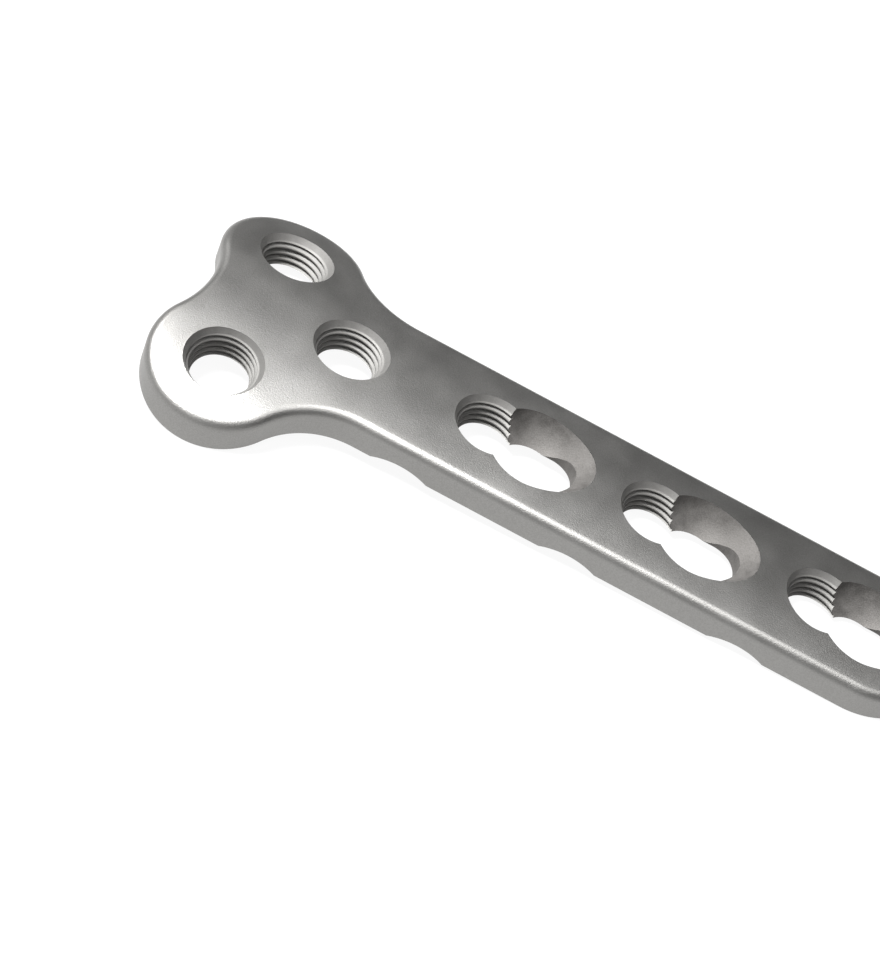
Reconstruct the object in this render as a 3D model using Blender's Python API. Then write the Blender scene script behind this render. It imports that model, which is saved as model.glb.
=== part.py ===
"""Orthopedic bone plate with a two-lobed head, as one solid.

The plate is milled from one bar and rolled across its width. Its head carries three round
tapered holes. Its shaft carries combination holes, where a round tapered hole opens into a
slot with a spherical ramp for a sliding screw head. Shallow arcs relieve the underside between
the holes.

Lengths are in metres. In the plate's own frame X runs from the head to the tail, Y across,
and Z = 0 is the crown line of the top face. The origin of X is the axis of the neck hole.
"""

import math

import bmesh
import bpy
from mathutils import Matrix, Vector

# Section of the plate.
SHAFT_WIDTH = 0.0160
THICKNESS = 0.0032
TOP_RADIUS = 0.056
TOP_FILLET = 0.00093
UNDER_CHAMFER = 0.00015

# Outline of the head: two round lobes, the shallow notch between them and the hollow neck.
LOBE_X = -0.0095
LOBE_Y = 0.0081
LOBE_RADIUS = 0.0076
NOTCH_RADIUS = 0.0115
NECK_RADIUS = 0.0091

# Screw holes of the lobes, a little further out than the lobes' own arcs.
LOBE_HOLE_X = -0.0096
LOBE_HOLE_Y = 0.00875

# Round tapered holes. The lead-in cone ends where the thread begins.
MOUTH_RADIUS = 0.0039
LEAD_DEPTH = 0.0009
THREAD_RADIUS = 0.00342
THREAD_TAPER = math.radians(11.0)

# Combination holes along the shaft.
FIRST_COMBINATION_X = 0.01535
HOLE_PITCH = 0.018
COMBINATION_COUNT = 3

# Compression slot of a combination hole, measured from its round hole.
SLOT_START = 0.0048
SLOT_TRAVEL = 0.0020
SLOT_WIDTH = 0.0056
RAMP_RADIUS = 0.0051
RAMP_HEIGHT = 0.0009
RAMP_RISE = 0.0030
RAMP_ANGLE = math.radians(45.0)

# Relief arcs under the shaft, ahead of each combination hole.
RELIEF_BACK = 0.0059
RELIEF_RADIUS = 0.0067
RELIEF_DEPTH = 0.00085

# Rounded tail past the last slot.
TAIL_WEB = 0.0029
TAIL_LENGTH = 0.0086

# Facets.
ARC_STEP = 0.0006
STRIPS_PER_HALF_SHAFT = 6
FILLET_STEPS = 4
HOLE_FACETS = 48
RAMP_RINGS = 10
RELIEF_FACETS = 128

# How far a cutter runs clear of the faces that it cuts.
CLEAR = 0.002


def clear_scene():
    """Remove the objects that the file opened with."""
    for item in list(bpy.data.objects):
        bpy.data.objects.remove(item, do_unlink=True)


def top_height(y):
    """Height of the rolled top face at y."""
    return math.sqrt(TOP_RADIUS**2 - y**2) - TOP_RADIUS


def under_height(y):
    """Height of the underside at y. It shares the top face's centre of curvature."""
    radius = TOP_RADIUS - THICKNESS
    return math.sqrt(radius**2 - y**2) - TOP_RADIUS


def hole_axes_x():
    """X of the round hole of each combination hole."""
    return [FIRST_COMBINATION_X + HOLE_PITCH * i for i in range(COMBINATION_COUNT)]


def tail_end_x():
    """X of the tip of the tail."""
    ball_reach = SLOT_START + (RAMP_RISE - RAMP_HEIGHT) / math.tan(RAMP_ANGLE)
    slot_end = ball_reach + math.sqrt(RAMP_RADIUS**2 - RAMP_RISE**2)
    return hole_axes_x()[-1] + slot_end + TAIL_WEB


def arc(centre, radius, start, end):
    """Points and outward directions along an arc, without its last point.

    A negative radius is a hollow arc, whose outward direction points at its centre.
    """
    steps = max(2, math.ceil(abs(radius * (end - start)) / ARC_STEP))
    points = []
    for i in range(steps):
        angle = start + (end - start) * i / steps
        ray = Vector((math.cos(angle), math.sin(angle)))
        points.append((centre + ray * abs(radius), ray * math.copysign(1.0, radius)))
    return points


def half_outline():
    """Outline of the +Y half, from the middle of the notch round to the tip of the tail."""
    lobe = Vector((LOBE_X, LOBE_Y))
    half_width = SHAFT_WIDTH / 2

    notch_reach = NOTCH_RADIUS + LOBE_RADIUS
    notch = Vector((LOBE_X - math.sqrt(notch_reach**2 - LOBE_Y**2), 0.0))
    notch_end = math.atan2(LOBE_Y, lobe.x - notch.x)
    points = arc(notch, -NOTCH_RADIUS, 0.0, notch_end)

    # The neck's arc touches the lobe's arc and ends on the shaft's side.
    neck_reach = NECK_RADIUS + LOBE_RADIUS
    neck_y = half_width + NECK_RADIUS
    neck = Vector((LOBE_X + math.sqrt(neck_reach**2 - (neck_y - LOBE_Y) ** 2), neck_y))
    lobe_end = math.atan2(neck.y - lobe.y, neck.x - lobe.x)
    points += arc(lobe, LOBE_RADIUS, notch_end + math.pi, lobe_end)
    points += arc(neck, -NECK_RADIUS, lobe_end - math.pi, -math.pi / 2)

    # The tail is half an ellipse.
    tail = Vector((tail_end_x() - TAIL_LENGTH, 0.0))
    points.append((Vector((neck.x, half_width)), Vector((0.0, 1.0))))
    steps = math.ceil((TAIL_LENGTH + half_width) / ARC_STEP)
    for i in range(steps + 1):
        angle = math.pi / 2 * i / steps
        ray = Vector((math.sin(angle), math.cos(angle)))
        point = tail + Vector((TAIL_LENGTH * ray.x, half_width * ray.y))
        points.append((point, Vector((half_width * ray.x, TAIL_LENGTH * ray.y)).normalized()))
    return points


def full_outline():
    """Closed outline: the +Y half, then its mirror image back to the notch."""
    upper = half_outline()
    lower = [
        (Vector((point.x, -point.y)), Vector((outward.x, -outward.y)))
        for point, outward in reversed(upper[1:-1])
    ]
    return upper + lower


def rim_profile():
    """Inset and height of the rim's rings on the flat blank, from the underside up."""
    rings = [(UNDER_CHAMFER, 0.0), (0.0, UNDER_CHAMFER)]
    for i in range(FILLET_STEPS + 1):
        angle = math.pi / 2 * i / FILLET_STEPS
        inset = TOP_FILLET * (1.0 - math.cos(angle))
        rings.append((inset, THICKNESS - TOP_FILLET * (1.0 - math.sin(angle))))
    return rings


def flat_blank():
    """The plate before rolling: the outline lofted through the rim's rings, with flat faces."""
    outline = full_outline()
    blank = bmesh.new()
    rings = []
    for inset, height in rim_profile():
        spots = [point - outward * inset for point, outward in outline]
        rings.append([blank.verts.new((spot.x, spot.y, height)) for spot in spots])
    count = len(outline)
    for low, high in zip(rings, rings[1:]):
        for i in range(count):
            j = (i + 1) % count
            blank.faces.new((low[i], low[j], high[j], high[i]))
    blank.faces.new(rings[0])
    blank.faces.new(rings[-1])
    return blank


def roll(blank):
    """Cut the flat blank into lengthwise strips and lay each strip on the rolled faces."""
    pitch = SHAFT_WIDTH / 2 / STRIPS_PER_HALF_SHAFT
    reach = math.ceil((LOBE_Y + LOBE_RADIUS) / pitch)
    for i in range(-reach, reach):
        everything = blank.verts[:] + blank.edges[:] + blank.faces[:]
        seam = Vector((0.0, (i + 0.5) * pitch, 0.0))
        bmesh.ops.bisect_plane(
            blank, geom=everything, dist=1e-7, plane_co=seam, plane_no=(0.0, 1.0, 0.0)
        )
    for vert in blank.verts:
        low = under_height(vert.co.y)
        high = top_height(vert.co.y)
        vert.co.z = low + (high - low) * vert.co.z / THICKNESS


def revolve(mesh, profile, facets, placement):
    """Add a closed solid of revolution to mesh: (radius, height) pairs from pole to pole."""
    rings = []
    for radius, height in profile:
        spots = [Vector((0.0, 0.0, height))]
        if radius > 0.0:
            angles = [math.tau * i / facets for i in range(facets)]
            spots = [Vector((radius * math.cos(a), radius * math.sin(a), height)) for a in angles]
        rings.append([mesh.verts.new(placement @ spot) for spot in spots])
    for low, high in zip(rings, rings[1:]):
        for i in range(facets):
            j = (i + 1) % facets
            corners = (low[i % len(low)], low[j % len(low)], high[j % len(high)], high[i % len(high)])
            mesh.faces.new(dict.fromkeys(corners))


def round_hole_profile():
    """Tapered hole in its own axis, where height 0 is the plate's top face."""
    slope = (MOUTH_RADIUS - THREAD_RADIUS) / LEAD_DEPTH
    bottom = -THICKNESS - CLEAR
    foot = THREAD_RADIUS + (bottom + LEAD_DEPTH) * math.tan(THREAD_TAPER)
    head = MOUTH_RADIUS + CLEAR * slope
    return [(0.0, bottom), (foot, bottom), (THREAD_RADIUS, -LEAD_DEPTH), (head, CLEAR), (0.0, CLEAR)]


def round_holes():
    """Cutter of every round tapered hole. A lobe's hole stands square to the rolled face."""
    mesh = bmesh.new()
    for x in [0.0] + hole_axes_x():
        revolve(mesh, round_hole_profile(), HOLE_FACETS, Matrix.Translation((x, 0.0, 0.0)))
    for side in (-1.0, 1.0):
        lean = -side * math.asin(LOBE_HOLE_Y / TOP_RADIUS)
        spot = (LOBE_HOLE_X, side * LOBE_HOLE_Y, top_height(LOBE_HOLE_Y))
        mouth = Matrix.Translation(spot)
        placement = mouth @ Matrix.Rotation(lean, 4, "X")
        revolve(mesh, round_hole_profile(), HOLE_FACETS, placement)
    return mesh


def ramps():
    """Cutter of the ramps: the path of a ball that starts low and slides up to the tail side."""
    path = (RAMP_RISE - RAMP_HEIGHT) / math.sin(RAMP_ANGLE)
    quarter = [math.pi / 2 * i / RAMP_RINGS for i in range(RAMP_RINGS + 1)]
    low_end = [(RAMP_RADIUS * math.sin(a), -RAMP_RADIUS * math.cos(a)) for a in quarter]
    high_end = [(radius, path - height) for radius, height in reversed(low_end)]
    mesh = bmesh.new()
    for x in hole_axes_x():
        start = Matrix.Translation((x + SLOT_START, 0.0, RAMP_HEIGHT))
        placement = start @ Matrix.Rotation(math.pi / 2 - RAMP_ANGLE, 4, "Y")
        revolve(mesh, low_end + high_end, HOLE_FACETS, placement)
    return mesh


def lower_slots():
    """Cutter of the upright-walled slots that the screws pass through, below the ramps."""
    mesh = bmesh.new()
    half = HOLE_FACETS // 2
    for x in hole_axes_x():
        start = x + SLOT_START
        rings = []
        for z in (-THICKNESS - 2 * CLEAR, 0.0):
            ring = []
            for shift, first in ((SLOT_TRAVEL, -math.pi / 2), (0.0, math.pi / 2)):
                for i in range(half + 1):
                    angle = first + math.pi * i / half
                    across = SLOT_WIDTH / 2 * math.sin(angle)
                    along = start + shift + SLOT_WIDTH / 2 * math.cos(angle)
                    ring.append(mesh.verts.new((along, across, z)))
            rings.append(ring)
        low, high = rings
        for i in range(len(low)):
            j = (i + 1) % len(low)
            mesh.faces.new((low[i], low[j], high[j], high[i]))
        mesh.faces.new(list(reversed(low)))
        mesh.faces.new(high)
    return mesh


def reliefs():
    """Cutter of the relief arcs: bars across the underside, one ahead of each combination hole."""
    edge = under_height(SHAFT_WIDTH / 2)
    depth = edge + RELIEF_DEPTH - RELIEF_RADIUS
    reach = SHAFT_WIDTH / 2 + CLEAR
    bar = [(0.0, -reach), (RELIEF_RADIUS, -reach), (RELIEF_RADIUS, reach), (0.0, reach)]
    mesh = bmesh.new()
    for x in hole_axes_x():
        spot = Matrix.Translation((x - RELIEF_BACK, 0.0, depth))
        revolve(mesh, bar, RELIEF_FACETS, spot @ Matrix.Rotation(math.pi / 2, 4, "X"))
    return mesh


def steel():
    """Satin implant steel: a warm light grey metal."""
    material = bpy.data.materials.new("satin_implant_steel")
    material.use_nodes = True
    shader = material.node_tree.nodes["Principled BSDF"]
    shader.inputs["Base Color"].default_value = (0.46, 0.45, 0.43, 1.0)
    shader.inputs["Metallic"].default_value = 1.0
    shader.inputs["Roughness"].default_value = 0.38
    return material


def add_object(name, shape):
    """Turn a bmesh into a linked object with outward faces."""
    bmesh.ops.recalc_face_normals(shape, faces=shape.faces)
    mesh = bpy.data.meshes.new(name)
    shape.to_mesh(mesh)
    shape.free()
    item = bpy.data.objects.new(name, mesh)
    bpy.context.scene.collection.objects.link(item)
    return item


def cut(plate, name, shape):
    """Cut shape from the plate, then drop the cutter."""
    cutter = add_object(name, shape)
    modifier = plate.modifiers.new(name, "BOOLEAN")
    modifier.operation = "DIFFERENCE"
    modifier.solver = "EXACT"
    modifier.object = cutter
    graph = bpy.context.evaluated_depsgraph_get()
    result = bpy.data.meshes.new_from_object(plate.evaluated_get(graph))
    plate.modifiers.clear()
    old = plate.data
    plate.data = result
    bpy.data.meshes.remove(old)
    bpy.data.objects.remove(cutter, do_unlink=True)


def rest_line(points):
    """Two points of the lower hull in X and Z that the plate stands on, either side of its middle."""
    hull = []
    for point in sorted((p.x, p.z) for p in points):
        while len(hull) > 1:
            (ax, az), (bx, bz) = hull[-2:]
            if (bx - ax) * (point[1] - az) > (bz - az) * (point[0] - ax):
                break
            hull.pop()
        hull.append(point)
    middle = (hull[0][0] + hull[-1][0]) / 2
    return next((a, b) for a, b in zip(hull, hull[1:]) if a[0] <= middle < b[0])


def settle(plate):
    """Lay the plate down as it comes to rest, on its lobes and its tail, centred over the origin."""
    head, tail = rest_line([vert.co for vert in plate.data.vertices])
    pitch = math.atan2(tail[1] - head[1], tail[0] - head[0])
    turn = Matrix.Rotation(pitch, 4, "Y")
    spots = [turn @ vert.co for vert in plate.data.vertices]
    ends = [spot.x for spot in spots]
    plate.rotation_euler = (0.0, pitch, 0.0)
    plate.location = (-(min(ends) + max(ends)) / 2, 0.0, -min(spot.z for spot in spots))


def build():
    """Build the plate."""
    clear_scene()
    blank = flat_blank()
    roll(blank)
    plate = add_object("plate", blank)
    cut(plate, "reliefs", reliefs())
    cut(plate, "round_holes", round_holes())
    cut(plate, "ramps", ramps())
    cut(plate, "lower_slots", lower_slots())
    plate.data.materials.clear()
    plate.data.materials.append(steel())
    plate.data.shade_smooth()
    plate.data.set_sharp_from_angle(angle=math.radians(28.0))
    settle(plate)


build()
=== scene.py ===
"""Studio scene of an orthopedic bone plate: the finished plate, its steel, light and camera.

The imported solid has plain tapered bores. This script makes the plate again at a fine resolution,
with the thread in every round hole, and lays it exactly where the solid lies.

Lengths are in metres. In the plate's own frame X runs from the head to the tail, Y across, and
Z = 0 is the crown line of the top face. The origin of X is the axis of the neck hole.
"""

from __future__ import annotations

import logging
import math
from dataclasses import dataclass, field
from enum import Enum

import bmesh
import bpy
import numpy as np
from mathutils import Matrix, Vector


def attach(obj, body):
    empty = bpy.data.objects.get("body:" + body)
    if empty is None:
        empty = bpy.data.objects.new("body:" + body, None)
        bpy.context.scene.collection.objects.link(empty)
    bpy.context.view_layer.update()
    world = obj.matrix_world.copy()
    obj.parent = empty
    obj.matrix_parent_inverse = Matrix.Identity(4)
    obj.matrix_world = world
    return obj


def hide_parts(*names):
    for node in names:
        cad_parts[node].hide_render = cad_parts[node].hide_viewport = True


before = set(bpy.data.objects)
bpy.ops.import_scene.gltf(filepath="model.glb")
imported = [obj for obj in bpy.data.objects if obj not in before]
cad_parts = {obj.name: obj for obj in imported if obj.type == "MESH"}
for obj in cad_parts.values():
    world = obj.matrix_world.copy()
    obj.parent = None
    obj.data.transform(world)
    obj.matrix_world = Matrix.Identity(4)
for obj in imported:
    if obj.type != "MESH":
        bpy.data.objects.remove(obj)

log = logging.getLogger("bone_plate")

Point = tuple[float, float, float]

# Points closer than this are one point.
MERGE = 1e-6
# How far the cutters run past the faces that they cut.
CLEAR = 0.002
# The photograph's longer side in pixels, which the camera's sensor in millimetres spans.
IMAGE_HEIGHT = 960
SENSOR = 36.0


class Surface(Enum):
    """The ways in which the plate's faces were made. The value is the face's material slot."""

    ROLLED = 0
    THREADED = 1
    MILLED = 2


class Side(Enum):
    """The two sides of the plate's middle plane."""

    NEAR = -1.0
    FAR = 1.0


def linear(code: str) -> tuple[float, float, float, float]:
    """Turn an sRGB hex colour into linear light.

    Args:
        code: The colour as "#RRGGBB".

    Returns:
        Red, green, blue and an alpha of 1.
    """
    srgb = [int(code[i : i + 2], 16) / 255 for i in (1, 3, 5)]
    rgb = [c / 12.92 if c <= 0.04045 else ((c + 0.055) / 1.055) ** 2.4 for c in srgb]
    return (*rgb, 1.0)


def per_feature(millimetres: float) -> float:
    """Texture scale that makes one feature of a pattern this many millimetres wide."""
    return 1000.0 / millimetres


def tube_quads(rows: int, columns: int, seam_shift: int = 0) -> np.ndarray:
    """Faces of a tube of rows x columns points.

    The last column joins the first one seam_shift rows further up, so a shift of one turn's rows
    makes the tube's rows climb as a screw does.

    Args:
        rows: Number of rings.
        columns: Points in a ring.
        seam_shift: Rows that the tube climbs across its seam.

    Returns:
        Corner indices, four to a face.
    """
    row, column = np.meshgrid(np.arange(rows - 1), np.arange(columns), indexing="ij")
    next_row = row + np.where(column == columns - 1, seam_shift, 0)
    next_column = (column + 1) % columns
    corners = [
        row * columns + column,
        next_row * columns + next_column,
        (next_row + 1) * columns + next_column,
        (row + 1) * columns + column,
    ]
    return np.stack(corners, axis=-1)[next_row + 1 < rows]


def closed_mesh(
    name: str,
    grid: np.ndarray,
    surface: Surface,
    climb: int = 0,
    collars: int = 0,
    capped: bool = True,
) -> bpy.types.Mesh:
    """Put a tube of points into a closed mesh with outward faces.

    Args:
        name: Name of the mesh.
        grid: Points as rows x columns x 3.
        surface: How its faces are made.
        climb: Rows that the tube climbs across its seam.
        collars: How many of its last rows are plain rings that climb nothing.
        capped: Whether flat faces close the first and last ring. A ring that has shrunk to a
            point or a line closes itself.

    Returns:
        The mesh, with its doubles merged.
    """
    rows, columns, _ = grid.shape
    climbing = tube_quads(rows - collars, columns, climb)
    level = tube_quads(collars + 1, columns) + (rows - collars - 1) * columns
    faces = np.concatenate([climbing, level]).tolist()
    if capped:
        faces.append(list(range(columns))[::-1])
        faces.append(list(range((rows - 1) * columns, rows * columns)))
    mesh = bpy.data.meshes.new(name)
    mesh.from_pydata(grid.reshape(-1, 3), [], faces)
    shape = bmesh.new()
    shape.from_mesh(mesh)
    bmesh.ops.remove_doubles(shape, verts=shape.verts, dist=MERGE)
    bmesh.ops.recalc_face_normals(shape, faces=shape.faces)
    shape.to_mesh(mesh)
    shape.free()
    mesh.polygons.foreach_set("material_index", [surface.value] * len(mesh.polygons))
    return mesh


def clear_slivers(mesh: bpy.types.Mesh) -> None:
    """Turn the mesh into triangles with no sliver among them, so that it exports closed.

    Args:
        mesh: The mesh, which is changed in place.
    """
    shape = bmesh.new()
    shape.from_mesh(mesh)
    bmesh.ops.remove_doubles(shape, verts=shape.verts, dist=MERGE)
    bmesh.ops.triangulate(shape, faces=shape.faces)
    bmesh.ops.dissolve_degenerate(shape, dist=MERGE, edges=shape.edges)
    bmesh.ops.remove_doubles(shape, verts=shape.verts, dist=MERGE)
    bmesh.ops.dissolve_degenerate(shape, dist=MERGE, edges=shape.edges)
    bmesh.ops.triangulate(shape, faces=shape.faces)
    shape.to_mesh(mesh)
    shape.free()


def placed(grid: np.ndarray, place: Matrix) -> np.ndarray:
    """Carry a grid of points through a placement.

    Args:
        grid: Points, with their coordinates along the last axis.
        place: The placement.

    Returns:
        The moved points, in the same layout.
    """
    matrix = np.array(place)
    return grid @ matrix[:3, :3].T + matrix[:3, 3]


def turned_tube(radius: np.ndarray, height: np.ndarray, columns: int) -> np.ndarray:
    """Points of a surface of revolution about Z.

    Formula: (r cos a, r sin a, h) for each (r, h) of the profile and each angle a.

    Args:
        radius: Radius at each point of the profile.
        height: Height at each point of the profile.
        columns: Points in a ring.

    Returns:
        Points as rows x columns x 3.
    """
    angle = np.linspace(0.0, math.tau, columns, endpoint=False)
    flat = np.stack([np.cos(angle), np.sin(angle)], axis=-1)
    rings = radius[:, None, None] * flat[None]
    heights = np.broadcast_to(height[:, None, None], (len(height), columns, 1))
    return np.concatenate([rings, heights], axis=-1)


@dataclass(frozen=True)
class RolledSection:
    """The plate's cross-section: two rolled faces with one centre of curvature, and its rim."""

    shaft_width: float = 0.0160
    thickness: float = 0.0032
    top_radius: float = 0.056
    fillet: float = 0.00093
    chamfer: float = 0.00015
    fillet_rows: int = 13

    def top(self, y: np.ndarray | float) -> np.ndarray | float:
        """Height of the top face at y: a circle of top_radius with its crown at 0."""
        return np.sqrt(self.top_radius**2 - np.square(y)) - self.top_radius

    def under(self, y: np.ndarray | float) -> np.ndarray | float:
        """Height of the underside at y: a circle about the same centre, one thickness in."""
        return np.sqrt((self.top_radius - self.thickness) ** 2 - np.square(y)) - self.top_radius

    def roll(self, flat: np.ndarray) -> np.ndarray:
        """Lay points of the flat blank on the rolled faces.

        Formula: the share of the blank's thickness that a point stands at is kept between the
        underside and the top face at its y.

        Args:
            flat: Points whose height runs from 0 to the thickness.

        Returns:
            The rolled points.
        """
        low = self.under(flat[..., 1])
        high = self.top(flat[..., 1])
        rolled = flat.copy()
        rolled[..., 2] = low + (high - low) * flat[..., 2] / self.thickness
        return rolled

    def rim(self) -> tuple[np.ndarray, np.ndarray]:
        """Inset and height of the rim's rows, from the underside up.

        Returns:
            A small chamfer, the upright wall, then a quarter circle of the fillet's radius.
        """
        angle = np.linspace(0.0, math.pi / 2, self.fillet_rows)
        inset = np.concatenate([[self.chamfer, 0.0], self.fillet * (1.0 - np.cos(angle))])
        arc_height = self.thickness - self.fillet * (1.0 - np.sin(angle))
        return inset, np.concatenate([[0.0, self.chamfer], arc_height])


@dataclass(frozen=True)
class Outline:
    """The plate seen from above: a two-lobed head, a neck, a straight shaft and a rounded tail."""

    section: RolledSection
    tail_end: float
    lobe_x: float = -0.0095
    lobe_y: float = 0.0081
    lobe_radius: float = 0.0076
    notch_radius: float = 0.0115
    neck_radius: float = 0.0091
    tail_length: float = 0.0086
    step: float = 0.00030

    def arc(
        self, centre: np.ndarray, radius: float, start: float, end: float
    ) -> tuple[np.ndarray, np.ndarray]:
        """Points and outward directions along an arc, without its last point.

        Args:
            centre: Centre of the arc.
            radius: Its radius, negative where the plate's edge is hollow.
            start: First angle.
            end: Last angle.

        Returns:
            The points and the outward unit vectors.
        """
        steps = max(2, math.ceil(abs(radius * (end - start)) / self.step))
        angle = np.linspace(start, end, steps, endpoint=False)
        ray = np.stack([np.cos(angle), np.sin(angle)], axis=-1)
        return centre + ray * abs(radius), ray * math.copysign(1.0, radius)

    def half(self) -> tuple[np.ndarray, np.ndarray]:
        """The +Y half, from the middle of the notch round to the tip of the tail.

        Returns:
            The points and the outward unit vectors: notch arc, lobe arc, neck arc, straight
            shaft and half an ellipse, each tangent to the next.
        """
        half_width = self.section.shaft_width / 2
        lobe = np.array([self.lobe_x, self.lobe_y])
        notch_reach = self.notch_radius + self.lobe_radius
        notch = np.array([self.lobe_x - math.sqrt(notch_reach**2 - self.lobe_y**2), 0.0])
        notch_end = math.atan2(self.lobe_y, lobe[0] - notch[0])

        neck_reach = self.neck_radius + self.lobe_radius
        neck_y = half_width + self.neck_radius
        run = math.sqrt(neck_reach**2 - (neck_y - self.lobe_y) ** 2)
        neck = np.array([self.lobe_x + run, neck_y])
        lobe_end = math.atan2(neck[1] - lobe[1], neck[0] - lobe[0])
        tail = np.array([self.tail_end - self.tail_length, 0.0])

        stretches = [
            self.arc(notch, -self.notch_radius, 0.0, notch_end),
            self.arc(lobe, self.lobe_radius, notch_end + math.pi, lobe_end),
            self.arc(neck, -self.neck_radius, lobe_end - math.pi, -math.pi / 2),
            self.shaft_side(neck[0], tail[0], half_width),
            self.tail_tip(tail, half_width),
        ]
        points = np.concatenate([stretch[0] for stretch in stretches])
        normals = np.concatenate([stretch[1] for stretch in stretches])
        return points, normals

    def shaft_side(
        self, start: float, end: float, half_width: float
    ) -> tuple[np.ndarray, np.ndarray]:
        """Points and outward directions along the shaft's straight side, without its last point.

        Args:
            start: X where the side begins.
            end: X where it ends.
            half_width: Its Y.

        Returns:
            The points and the outward unit vectors.
        """
        steps = max(2, math.ceil((end - start) / (2 * self.step)))
        points = np.full((steps, 2), half_width)
        points[:, 0] = np.linspace(start, end, steps, endpoint=False)
        return points, np.broadcast_to(np.array([0.0, 1.0]), (steps, 2))

    def tail_tip(self, centre: np.ndarray, half_width: float) -> tuple[np.ndarray, np.ndarray]:
        """Half an ellipse from the shaft's side to the tip, with its last point.

        Args:
            centre: Centre of the ellipse, on the middle line.
            half_width: Its half axis across the plate.

        Returns:
            The points and the outward unit vectors.
        """
        steps = math.ceil((self.tail_length + half_width) / self.step)
        angle = np.linspace(0.0, math.pi / 2, steps)
        ray = np.stack([np.sin(angle), np.cos(angle)], axis=-1)
        normal = ray * np.array([half_width, self.tail_length])
        normal /= np.linalg.norm(normal, axis=1, keepdims=True)
        return centre + ray * np.array([self.tail_length, half_width]), normal

    def closed(self) -> tuple[np.ndarray, np.ndarray]:
        """The whole outline: the +Y half, then its mirror image back to the notch."""
        points, normals = self.half()
        mirror = np.array([1.0, -1.0])
        back = slice(-2, 0, -1)
        return (
            np.concatenate([points, points[back] * mirror]),
            np.concatenate([normals, normals[back] * mirror]),
        )


@dataclass(frozen=True)
class ThreadedHole:
    """A round tapered hole: a plain lead-in cone, then a fine thread on a steeper cone.

    Depths are measured down from the mouth. The thread's radius is the one halfway between its
    crests and roots, at the foot of the lead-in. The foot is where the cutter ends.
    """

    mouth_radius: float = 0.0039
    lead_depth: float = 0.0009
    thread_radius: float = 0.00342
    taper: float = math.radians(11.0)
    pitch: float = 0.00064
    thread_depth: float = 0.00032
    thread_power: float = 1.3
    thread_start: float = 0.00072
    fade: float = 0.00025
    columns: int = 120
    rows_per_turn: int = 16
    spare_turns: int = 1
    foot: float = 0.0046

    def lead_slope(self) -> float:
        """How fast the lead-in cone opens towards the mouth."""
        return (self.mouth_radius - self.thread_radius) / self.lead_depth

    def radius(self, angle: np.ndarray, height: np.ndarray) -> np.ndarray:
        """Radius of the wall, with height 0 at the top face.

        Formula: the wider of the lead-in cone and the thread's cone. The thread adds half its
        depth times 1 - 2 |sin(pi t)|^p, where t counts turns from the root and p is
        thread_power, so roots are narrow and crests are round. It fades in below the lead-in.

        Args:
            angle: Angle about the hole's axis.
            height: Height of each point.

        Returns:
            The radius at each point.
        """
        below = height + self.lead_depth
        cone = np.where(
            below > 0.0,
            self.thread_radius + below * self.lead_slope(),
            self.thread_radius + below * math.tan(self.taper),
        )
        turns = height / self.pitch - angle / math.tau
        wave = 1.0 - 2.0 * np.abs(np.sin(math.pi * turns)) ** self.thread_power
        grown = np.clip((-height - self.thread_start) / self.fade, 0.0, 1.0)
        return cone + self.thread_depth / 2 * wave * grown * grown * (3.0 - 2.0 * grown)

    def cutter(self, name: str, place: Matrix) -> bpy.types.Mesh:
        """Closed solid that this hole takes out of the plate.

        Its rows climb with the thread, so a row of points runs along every root and crest. Spare
        rows past either end are pressed flat into the rings there.

        Args:
            name: Name of the mesh.
            place: Where the mouth lies and how the axis stands.

        Returns:
            The mesh.
        """
        # One turn more than the span makes up for rounding the first turn down.
        turns = math.ceil((self.foot - self.thread_start) / self.pitch) + 1 + 2 * self.spare_turns
        first = math.floor(-self.foot / self.pitch) - self.spare_turns
        row = np.arange(turns * self.rows_per_turn + 1)[:, None] / self.rows_per_turn
        share = np.arange(self.columns)[None] / self.columns
        height = (first + row + share) * self.pitch
        height = np.clip(height, -self.foot, -self.thread_start)
        angle = np.broadcast_to(share * math.tau, height.shape)
        radius = self.radius(angle, height)
        angle = np.concatenate([angle, angle[:1]])
        height = np.concatenate([height, np.full((1, self.columns), CLEAR)])
        radius = np.concatenate([radius, self.radius(angle[-1:], height[-1:])])
        grid = np.stack([radius * np.cos(angle), radius * np.sin(angle), height], axis=-1)
        where = placed(grid, place)
        return closed_mesh(name, where, Surface.THREADED, self.rows_per_turn, collars=1)


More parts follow.
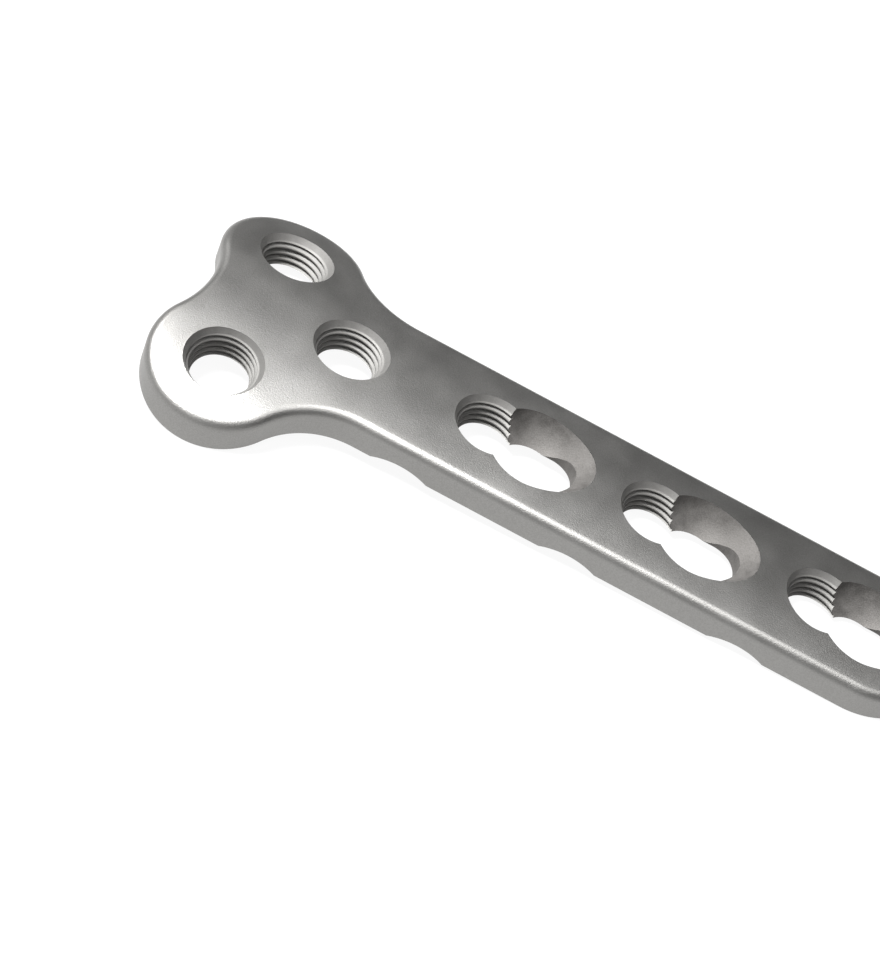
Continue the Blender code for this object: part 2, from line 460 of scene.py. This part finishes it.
@dataclass(frozen=True)
class CompressionSlot:
    """The slot beside a combination hole's round hole: a ball's ramp over an upright slot.

    The start is how far the slot's first centre lies from the round hole's axis, towards the
    tail. The ball starts above it at the ramp's height, and slides up to the ramp's rise.
    """

    start: float = 0.0048
    travel: float = 0.0020
    width: float = 0.0056
    ramp_radius: float = 0.0051
    ramp_height: float = 0.0009
    ramp_rise: float = 0.0030
    ramp_angle: float = math.radians(45.0)
    columns: int = 160
    rings: int = 40

    def end(self) -> float:
        """How far the slot's mouth reaches from the round hole's axis, towards the tail."""
        slide = (self.ramp_rise - self.ramp_height) / math.tan(self.ramp_angle)
        return self.start + slide + math.sqrt(self.ramp_radius**2 - self.ramp_rise**2)

    def ramp(self, name: str, hole_x: float) -> bpy.types.Mesh:
        """Closed path of the screw head's ball, which starts low and slides up to the tail side.

        Formula: half a circle, a straight run and half a circle, turned about the path.

        Args:
            name: Name of the mesh.
            hole_x: X of the round hole's axis.

        Returns:
            The mesh.
        """
        path = (self.ramp_rise - self.ramp_height) / math.sin(self.ramp_angle)
        quarter = np.linspace(0.0, math.pi / 2, self.rings)
        low_radius = self.ramp_radius * np.sin(quarter)
        low_height = -self.ramp_radius * np.cos(quarter)
        radius = np.concatenate([low_radius, low_radius[::-1]])
        height = np.concatenate([low_height, path - low_height[::-1]])
        ball = Matrix.Translation((hole_x + self.start, 0.0, self.ramp_height))
        place = ball @ Matrix.Rotation(math.pi / 2 - self.ramp_angle, 4, "Y")
        tube = placed(turned_tube(radius, height, self.columns), place)
        return closed_mesh(name, tube, Surface.MILLED, capped=False)

    def passage(self, name: str, hole_x: float, depth: float) -> bpy.types.Mesh:
        """Closed upright slot that the screw's shank passes through.

        Formula: two half circles of the slot's width, one travel apart, carried along Z.

        Args:
            name: Name of the mesh.
            hole_x: X of the round hole's axis.
            depth: How far down it runs.

        Returns:
            The mesh.
        """
        angle = np.linspace(-math.pi / 2, math.pi / 2, self.columns // 2)
        half_turn = np.concatenate([angle, angle + math.pi])
        shift = np.repeat([self.travel, 0.0], len(angle))
        along = hole_x + self.start + shift + self.width / 2 * np.cos(half_turn)
        across = self.width / 2 * np.sin(half_turn)
        ring = np.stack([along, across], axis=-1)
        levels = np.array([-depth, 0.0])
        grid = np.empty((2, len(ring), 3))
        grid[..., :2] = ring
        grid[..., 2] = levels[:, None]
        return closed_mesh(name, grid, Surface.MILLED)


@dataclass(frozen=True)
class Relief:
    """Shallow arc under the shaft, one ahead of each combination hole.

    Its middle lies back from the round hole's axis, towards the head.
    """

    back: float = 0.0059
    radius: float = 0.0067
    depth: float = 0.00085
    columns: int = 400

    def bar(self, name: str, hole_x: float, section: RolledSection) -> bpy.types.Mesh:
        """Closed round bar across the plate, whose top takes the arc out.

        Args:
            name: Name of the mesh.
            hole_x: X of the round hole behind it.
            section: The plate's section.

        Returns:
            The mesh.
        """
        half_width = section.shaft_width / 2
        middle = float(section.under(half_width)) + self.depth - self.radius
        reach = np.array([-half_width - CLEAR, half_width + CLEAR])
        spot = Matrix.Translation((hole_x - self.back, 0.0, middle))
        place = spot @ Matrix.Rotation(math.pi / 2, 4, "X")
        tube = turned_tube(np.full(2, self.radius), reach, self.columns)
        return closed_mesh(name, placed(tube, place), Surface.ROLLED)


@dataclass(frozen=True)
class RestPose:
    """How the plate lies: pitched until its lobes and its tail both touch the floor."""

    pitch: float
    shift: Point

    @staticmethod
    def of(points: np.ndarray) -> RestPose:
        """Work out the pose from the plate's points in its own frame.

        The line through the head's lowest point that no point behind the middle lies under
        turns level. The box's middle then comes over the origin, and its bottom to the floor.

        Args:
            points: Points of the whole plate.

        Returns:
            The pose.
        """
        cloud = points.reshape(-1, 3)
        middle = (cloud[:, 0].min() + cloud[:, 0].max()) / 2
        head = cloud[np.argmin(cloud[:, 2])]
        tail = cloud[cloud[:, 0] > middle]
        pitch = float(np.arctan2(tail[:, 2] - head[2], tail[:, 0] - head[0]).min())
        laid = placed(cloud, Matrix.Rotation(pitch, 4, "Y"))
        centre = (laid[:, 0].min() + laid[:, 0].max()) / 2
        return RestPose(pitch, (-float(centre), 0.0, -float(laid[:, 2].min())))

    def matrix(self) -> Matrix:
        """Placement from the plate's own frame to the shared frame."""
        return Matrix.Translation(self.shift) @ Matrix.Rotation(self.pitch, 4, "Y")


class NodeSheet:
    """A material's or a world's node tree, emptied and ready to be filled."""

    def __init__(self, owner: bpy.types.Material | bpy.types.World) -> None:
        """Empty the owner's tree.

        Args:
            owner: The material or the world.
        """
        owner.use_nodes = True
        self.tree = owner.node_tree
        self.tree.nodes.clear()

    def add(self, kind: str, settings: dict | None = None, **links: object) -> bpy.types.Node:
        """Add a node with its settings, socket values and links.

        Args:
            kind: Blender's name of the node's type.
            settings: Properties of the node itself.
            links: Input sockets by name, with _ for a space. A socket of another node is linked,
                and anything else is set as the value. A name that ends in a number counts the
                sockets from 0.

        Returns:
            The node.
        """
        node = self.tree.nodes.new(kind)
        for name, value in (settings or {}).items():
            setattr(node, name, value)
        for name, value in links.items():
            key = int(name[5:]) if name.startswith("input") else name.replace("_", " ")
            socket = node.inputs[key]
            if isinstance(value, bpy.types.NodeSocket):
                self.tree.links.new(value, socket)
            else:
                socket.default_value = value
        return node


@dataclass(frozen=True)
class BlastedSteel:
    """Implant stainless steel, bead-blasted and then electropolished.

    To the eye it is a warm light grey with a soft, wide highlight and a fine even grain. The
    grain is drawn a little coarser than the real beads' marks, so that it shows. Each span is
    the part of a noise that carries the whole change.
    """

    name: str = "blasted_electropolished_implant_steel"
    colour: str = "#979694"
    shade: str = "#8C8B89"
    roughness: float = 0.42
    roughness_spread: float = 0.02
    grain_mm: float = 0.13
    grain_height: float = 0.000019
    grain_share: float = 0.8
    grain_detail: float = 2.0
    cloud_mm: float = 4.0
    cloud_detail: float = 3.0
    tone_span: tuple[float, float] = (0.35, 0.65)
    roughness_span: tuple[float, float] = (0.3, 0.7)

    def material(self) -> bpy.types.Material:
        """Build the material.

        Returns:
            A metal with the blasting's grain in its bump. Its tone goes from the shade to the
            colour with the grain and with slow clouds, and its roughness follows the clouds.
        """
        material = bpy.data.materials.new(self.name)
        sheet = NodeSheet(material)
        place = sheet.add("ShaderNodeTexCoord").outputs["Object"]
        grain = sheet.add(
            "ShaderNodeTexNoise",
            Vector=place,
            Scale=per_feature(self.grain_mm),
            Detail=self.grain_detail,
        )
        cloud = sheet.add(
            "ShaderNodeTexNoise",
            Vector=place,
            Scale=per_feature(self.cloud_mm),
            Detail=self.cloud_detail,
        )
        roughness = sheet.add(
            "ShaderNodeMapRange",
            Value=cloud.outputs["Fac"],
            From_Min=self.roughness_span[0],
            From_Max=self.roughness_span[1],
            To_Min=self.roughness - self.roughness_spread,
            To_Max=self.roughness + self.roughness_spread,
        )
        marks = sheet.add(
            "ShaderNodeMix",
            Factor=self.grain_share,
            A=cloud.outputs["Fac"],
            B=grain.outputs["Fac"],
        )
        tone = sheet.add("ShaderNodeValToRGB", Fac=marks.outputs["Result"])
        for stop, at, code in zip(
            tone.color_ramp.elements, self.tone_span, (self.shade, self.colour)
        ):
            stop.position = at
            stop.color = linear(code)
        bump = sheet.add(
            "ShaderNodeBump", Height=grain.outputs["Fac"], Distance=self.grain_height, Strength=1.0
        )
        shader = sheet.add(
            "ShaderNodeBsdfPrincipled",
            Base_Color=tone.outputs["Color"],
            Metallic=1.0,
            Roughness=roughness.outputs["Result"],
            Normal=bump.outputs["Normal"],
        )
        sheet.add("ShaderNodeOutputMaterial", Surface=shader.outputs["BSDF"])
        return material


@dataclass(frozen=True)
class ThreadedSteelWithPaintedShade(BlastedSteel):
    """The same steel where a thread was milled into it and the beads hardly reached.

    To the eye it is duller than the faces, and its crests catch the light softly. Its darker
    colour is painted shade inside the holes.
    """

    name: str = "thread_milled_steel_painted_shade"
    # colour and shade are set darker than the faces: painted shade inside the threaded holes
    colour: str = "#848381"
    shade: str = "#7D7C7A"
    roughness: float = 0.76
    grain_height: float = 0.000006


@dataclass(frozen=True)
class BallMilledSteelWithPaintedShade(BlastedSteel):
    """The same steel where a ball-ended mill swept out a screw head's ramp.

    It is dull and faintly mottled, with the blasting's grain. Its colour is a tone darker than the
    faces, which is painted shade for the hollow that the ramp lies in.
    """

    name: str = "ball_milled_steel_painted_shade"
    # colour and shade are set darker than the faces: painted shade of the ramp's hollow; the
    # mottling between them is random tone
    colour: str = "#777573"
    shade: str = "#615F5D"
    roughness: float = 0.78
    roughness_spread: float = 0.07
    grain_share: float = 0.45
    cloud_mm: float = 1.1


@dataclass(frozen=True)
class BonePlate:
    """The whole plate, as one piece."""

    section: RolledSection = field(default_factory=RolledSection)
    hole: ThreadedHole = field(default_factory=ThreadedHole)
    slot: CompressionSlot = field(default_factory=CompressionSlot)
    relief: Relief = field(default_factory=Relief)
    lobe_hole_x: float = -0.0096
    lobe_hole_y: float = 0.00875
    first_combination_x: float = 0.01535
    hole_pitch: float = 0.018
    combination_count: int = 3
    tail_web: float = 0.0029
    face_rows: int = 12
    sharp_angle: float = math.radians(28.0)

    def combination_holes(self) -> list[float]:
        """X of the round hole of each combination hole."""
        first, pitch = self.first_combination_x, self.hole_pitch
        return [first + pitch * i for i in range(self.combination_count)]

    def outline(self) -> Outline:
        """The outline, whose tail ends one web past the last slot."""
        last_slot = self.combination_holes()[-1] + self.slot.end()
        return Outline(self.section, last_slot + self.tail_web)

    def blank(self) -> np.ndarray:
        """Points of the plate before its holes, as a tube round the outline.

        Formula: each face is ruled from the outline to the middle line. The head's rules meet
        in the neck hole and the tail's in the last slot, where they are cut away.

        Returns:
            Points as rows x columns x 3, from the middle of the underside to that of the top.
        """
        points, outward = self.outline().closed()
        tail_pole = self.combination_holes()[-1] + self.slot.start
        spine = np.zeros_like(points)
        spine[:, 0] = np.clip(points[:, 0], 0.0, tail_pole)
        inset, height = self.section.rim()
        rim = points[None] - outward[None] * inset[:, None, None]
        share = np.linspace(0.0, 1.0, self.face_rows, endpoint=False)[:, None, None]
        under = spine + (rim[0] - spine) * share
        top = spine + (rim[-1] - spine) * share[::-1]
        flat = np.concatenate([under, rim, top])
        level = np.concatenate([np.zeros(len(under)), height, np.full(len(top), height[-1])])
        levels = np.broadcast_to(level[:, None, None], (*flat.shape[:2], 1))
        return self.section.roll(np.concatenate([flat, levels], axis=-1))

    def hole_places(self) -> dict[str, Matrix]:
        """Where each round hole stands. A lobe's hole is square to the rolled face."""
        places = {"neck": Matrix.Identity(4)}
        for number, x in enumerate(self.combination_holes(), start=1):
            places[f"combination_{number}"] = Matrix.Translation((x, 0.0, 0.0))
        for side in Side:
            y = side.value * self.lobe_hole_y
            mouth = Matrix.Translation((self.lobe_hole_x, y, float(self.section.top(y))))
            lean = Matrix.Rotation(-math.asin(y / self.section.top_radius), 4, "X")
            places[f"{side.name.lower()}_lobe"] = mouth @ lean
        return places

    def cutters(self) -> list[bpy.types.Mesh]:
        """Everything that is cut from the blank, in order."""
        meshes = []
        for number, x in enumerate(self.combination_holes(), start=1):
            meshes.append(self.relief.bar(f"relief_{number}", x, self.section))
        for name, place in self.hole_places().items():
            meshes.append(self.hole.cutter(f"{name}_hole", place))
        for number, x in enumerate(self.combination_holes(), start=1):
            meshes.append(self.slot.ramp(f"ramp_{number}", x))
        depth = self.section.thickness + 2 * CLEAR
        for number, x in enumerate(self.combination_holes(), start=1):
            meshes.append(self.slot.passage(f"passage_{number}", x, depth))
        return meshes

    def build(self) -> tuple[bpy.types.Object, RestPose]:
        """Make the plate, cut it and lay it down.

        Returns:
            The plate, at the origin with its place in its mesh, and its pose.
        """
        blank = self.blank()
        mesh = closed_mesh("bone_plate", blank, Surface.ROLLED, capped=False)
        plate = add_object("bone_plate", mesh)
        for _ in Surface:
            plate.data.materials.append(None)
        for mesh in self.cutters():
            cut(plate, mesh)
        clear_slivers(plate.data)
        pose = RestPose.of(blank)
        plate.data.transform(pose.matrix())
        plate.data.shade_smooth()
        plate.data.set_sharp_from_angle(angle=self.sharp_angle)
        return plate, pose

    def dress(self, plate: bpy.types.Object, finishes: dict[Surface, bpy.types.Material]) -> None:
        """Give each kind of face its finish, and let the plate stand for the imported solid.

        Args:
            plate: The finished plate.
            finishes: The material of each kind of face.
        """
        for surface, material in finishes.items():
            plate.data.materials[surface.value] = material
        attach(plate, "root")
        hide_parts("plate")


def add_object(
    name: str, data: bpy.types.Mesh | bpy.types.Light | bpy.types.Camera
) -> bpy.types.Object:
    """Link a new object to the scene.

    Args:
        name: Name of the object.
        data: The mesh, light or camera that it shows.

    Returns:
        The object.
    """
    item = bpy.data.objects.new(name, data)
    bpy.context.scene.collection.objects.link(item)
    return item


def cut(plate: bpy.types.Object, mesh: bpy.types.Mesh) -> None:
    """Take a closed mesh out of the plate, and drop the cutter.

    Args:
        plate: The plate, whose mesh is replaced.
        mesh: What is taken out.
    """
    cutter = add_object(mesh.name, mesh)
    for _ in Surface:
        mesh.materials.append(None)
    modifier = plate.modifiers.new(mesh.name, "BOOLEAN")
    modifier.operation = "DIFFERENCE"
    modifier.solver = "EXACT"
    modifier.material_mode = "INDEX"
    modifier.object = cutter
    graph = bpy.context.evaluated_depsgraph_get()
    result = bpy.data.meshes.new_from_object(plate.evaluated_get(graph))
    plate.modifiers.clear()
    whole = plate.data
    plate.data = result
    bpy.data.meshes.remove(whole)
    bpy.data.objects.remove(cutter, do_unlink=True)
    bpy.data.meshes.remove(mesh)


@dataclass(frozen=True)
class StudioFloor:
    """Plain white sweep that the plate lies on."""

    half_size: float = 4.0
    colour: str = "#E8E8E8"
    whiteness: float = 0.93

    def build(self) -> bpy.types.Object:
        """Lay the floor at the height of the plate's lowest points.

        Returns:
            The floor.
        """
        corners = np.array([[-1, -1, 0], [1, -1, 0], [1, 1, 0], [-1, 1, 0]]) * self.half_size
        mesh = bpy.data.meshes.new("studio_floor")
        mesh.from_pydata(corners, [], [[0, 1, 2, 3]])
        floor = add_object("studio_floor", mesh)
        mesh.materials.append(self.material())
        return floor

    def material(self) -> bpy.types.Material:
        """Matt white board that the eye, metal and glass see as nearly pure white.

        Returns:
            A pale diffuse surface. For camera, glossy and transmission rays most of it is a
            plain white glow, so the background is white and a shadow on it stays faint.
        """
        material = bpy.data.materials.new("matt_white_board")
        sheet = NodeSheet(material)
        path = sheet.add("ShaderNodeLightPath")
        seen = path.outputs["Is Camera Ray"]
        for ray in ("Is Glossy Ray", "Is Transmission Ray"):
            either = sheet.add(
                "ShaderNodeMath", {"operation": "MAXIMUM"}, input0=seen, input1=path.outputs[ray]
            )
            seen = either.outputs["Value"]
        share = sheet.add(
            "ShaderNodeMath", {"operation": "MULTIPLY"}, input0=seen, input1=self.whiteness
        )
        board = sheet.add("ShaderNodeBsdfDiffuse", Color=linear(self.colour))
        white = sheet.add("ShaderNodeEmission", Strength=1.0)
        both = sheet.add(
            "ShaderNodeMixShader",
            input0=share.outputs["Value"],
            input1=board.outputs["BSDF"],
            input2=white.outputs["Emission"],
        )
        sheet.add("ShaderNodeOutputMaterial", Surface=both.outputs["Shader"])
        return material


@dataclass(frozen=True)
class SoftBox:
    """A rectangular soft light that faces the plate."""

    name: str
    place: Point
    size: tuple[float, float]
    power: float
    aim: Point = (0.0, 0.0, 0.0)

    def build(self) -> bpy.types.Object:
        """Hang the light.

        Returns:
            The light.
        """
        lamp = bpy.data.lights.new(self.name, "AREA")
        lamp.shape = "RECTANGLE"
        lamp.size, lamp.size_y = self.size
        lamp.energy = self.power
        item = add_object(self.name, lamp)
        item.location = self.place
        facing = Vector(self.aim) - Vector(self.place)
        item.rotation_euler = facing.to_track_quat("-Z", "Y").to_euler()
        return item


@dataclass(frozen=True)
class StudioRoom:
    """The room round the table: pale on one side, dim on the other."""

    pale_side: Point = (-0.25, -0.80, -0.55)
    halfway: float = 0.5
    pale: str = "#E0E0E0"
    middle: str = "#666666"
    dim: str = "#3C3C3C"

    def build(self) -> bpy.types.World:
        """Set the world.

        Returns:
            A world whose grey follows how far a direction leans to the pale side.
        """
        world = bpy.data.worlds.new("studio_room")
        sheet = NodeSheet(world)
        ray = sheet.add("ShaderNodeTexCoord").outputs["Generated"]
        lean = sheet.add(
            "ShaderNodeVectorMath", {"operation": "DOT_PRODUCT"}, input0=ray, input1=self.pale_side
        )
        share = sheet.add("ShaderNodeMapRange", Value=lean.outputs["Value"], From_Min=-1.0)
        ramp = sheet.add("ShaderNodeValToRGB", Fac=share.outputs["Result"])
        stops = ramp.color_ramp.elements
        stops[0].color = linear(self.dim)
        stops[1].color = linear(self.pale)
        stops.new(self.halfway).color = linear(self.middle)
        light = sheet.add("ShaderNodeBackground", Color=ramp.outputs["Color"], Strength=1.0)
        sheet.add("ShaderNodeOutputWorld", Surface=light.outputs["Background"])
        bpy.context.scene.world = world
        return world


@dataclass(frozen=True)
class StudioCamera:
    """The photograph's camera, given in the plate's own frame."""

    eye: Point = (0.01292, -0.12712, 0.12062)
    aim: Point = (0.01336, -0.00998, 0.0)
    roll: float = math.radians(28.24)
    focal_pixels: float = 1821.7
    clip_start: float = 0.01
    clip_end: float = 20.0

    def build(self, pose: RestPose) -> bpy.types.Object:
        """Set up the camera.

        Args:
            pose: How the plate lies.

        Returns:
            The camera.
        """
        lens = bpy.data.cameras.new("photo_camera")
        lens.sensor_fit = "AUTO"
        lens.sensor_width = SENSOR
        lens.lens = self.focal_pixels * SENSOR / IMAGE_HEIGHT
        lens.clip_start = self.clip_start
        lens.clip_end = self.clip_end
        camera = add_object("photo_camera", lens)
        forward = (Vector(self.aim) - Vector(self.eye)).normalized()
        level = forward.cross(Vector((0.0, 0.0, 1.0))).normalized()
        right = Matrix.Rotation(-self.roll, 3, forward) @ level
        up = right.cross(forward)
        turn = Matrix((right, up, -forward)).transposed().to_4x4()
        camera.matrix_world = pose.matrix() @ Matrix.Translation(self.eye) @ turn
        bpy.context.scene.camera = camera
        return camera


LIGHTS = (
    SoftBox(name="key_softbox", place=(-0.211, -0.048, 0.394), size=(0.12, 0.12), power=8.3),
    SoftBox(name="fill_softbox", place=(0.104, -0.060, 0.485), size=(0.38, 0.24), power=0.96),
)


def build_studio(pose: RestPose) -> None:
    """Set up the floor, the room, the lights and the camera.

    Args:
        pose: How the plate lies.
    """
    view = bpy.context.scene.view_settings
    view.view_transform = "Standard"
    StudioFloor().build()
    StudioRoom().build()
    for light in LIGHTS:
        light.build()
        log.info("%s at %s, %.2f watts", light.name, light.place, light.power)
    camera = StudioCamera().build(pose)
    log.info("camera at %s", tuple(round(v, 4) for v in camera.location))


def main() -> None:
    """Build the plate, dress it, light it and log its faces and pitch."""
    logging.basicConfig(level=logging.INFO, format="%(name)s: %(message)s")
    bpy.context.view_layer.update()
    design = BonePlate()
    plate, pose = design.build()
    finishes = {
        Surface.ROLLED: BlastedSteel(),
        Surface.THREADED: ThreadedSteelWithPaintedShade(),
        Surface.MILLED: BallMilledSteelWithPaintedShade(),
    }
    design.dress(plate, {surface: finish.material() for surface, finish in finishes.items()})
    tilt = math.degrees(pose.pitch)
    log.info("%s: %d faces, pitched %.3f degrees", plate.name, len(plate.data.polygons), tilt)
    build_studio(pose)


if __name__ == "__main__":
    main()
